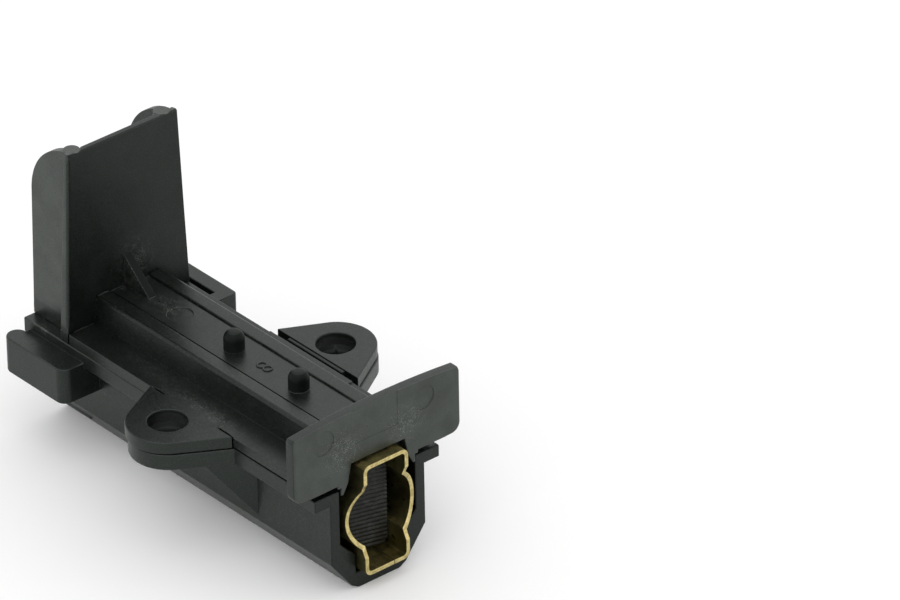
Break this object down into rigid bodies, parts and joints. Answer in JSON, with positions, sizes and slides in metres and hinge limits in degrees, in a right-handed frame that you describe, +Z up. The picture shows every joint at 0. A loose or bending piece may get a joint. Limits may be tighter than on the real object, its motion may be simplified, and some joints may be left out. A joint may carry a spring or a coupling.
{
  "type": "carbon brush with holder",
  "caption": "Carbon motor brush in a brass guide tube, held in a black moulded holder with screw ears, a tall shield over the push-on terminal, locating pegs and a front flange.",
  "frame": {"origin": "middle between the axes of the two screw holes, on the underside of the screw ears", "axes": "+X along the brush, towards the mouth of the tube; +Y across, through the two screw holes; +Z up, out of the pegged side of the holder"},
  "size_m": [0.0505, 0.0319, 0.0362],
  "materials": {
    "moulding": "black glass-filled moulding, satin, with fine pale fibre haze",
    "brass": "rolled and folded brass sheet, bright at the cut edge, tarnished inside",
    "carbon": "matt electrographite with a finely ridged running face",
    "spring_steel": "bare drawn spring wire",
    "copper_braid": "bare copper braid",
    "terminal_brass": "stamped brass strip"
  },
  "bodies": {
    "holder": {"base_moulding": "moulding", "cover_moulding": "moulding", "guide_tube": "brass", "pressure_spring": "spring_steel", "shunt_lead": "copper_braid", "tab_terminal": "terminal_brass"},
    "brush": {"carbon_brush": "carbon"}
  },
  "joints": [
    {"name": "brush_slide", "type": "slide", "parent": "holder", "child": "brush", "axis": [1, 0, 0], "range_m": [-0.002, 0.017], "deforming": ["pressure_spring", "shunt_lead"]}
  ]
}
